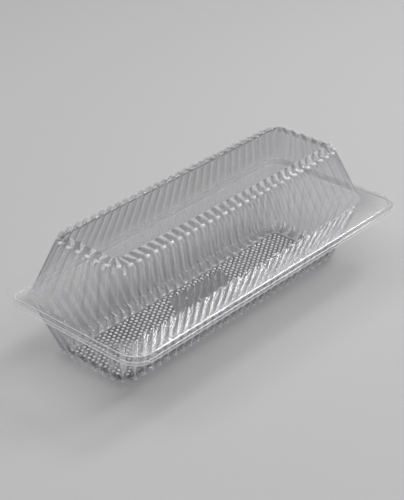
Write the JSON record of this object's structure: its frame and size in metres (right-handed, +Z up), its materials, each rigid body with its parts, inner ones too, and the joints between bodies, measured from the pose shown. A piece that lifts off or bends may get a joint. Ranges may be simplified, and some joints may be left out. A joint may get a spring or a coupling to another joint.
{
  "type": "hinged clear roll pack",
  "caption": "Long clear thermoformed food pack: a ribbed tray and a ribbed lid joined by a fold along the back edge, with a wide front flange for opening it.",
  "frame": {"origin": "bottom centre of the closed pack, on the surface it stands on", "axes": "+X along the pack, +Y towards the fold at the back, so -Y is the side that opens, +Z up"},
  "size_m": [0.25, 0.107, 0.0808],
  "materials": {
    "clear_film": "gloss"
  },
  "bodies": {
    "base": {"base_tray": "clear_film"},
    "cover": {"lid": "clear_film"}
  },
  "joints": [
    {"name": "lid_hinge", "type": "hinge", "parent": "base", "child": "cover", "pos_m": [0, 0.0528, 0.04165], "axis": [-1, 0, 0], "range_deg": [0, 180]}
  ]
}
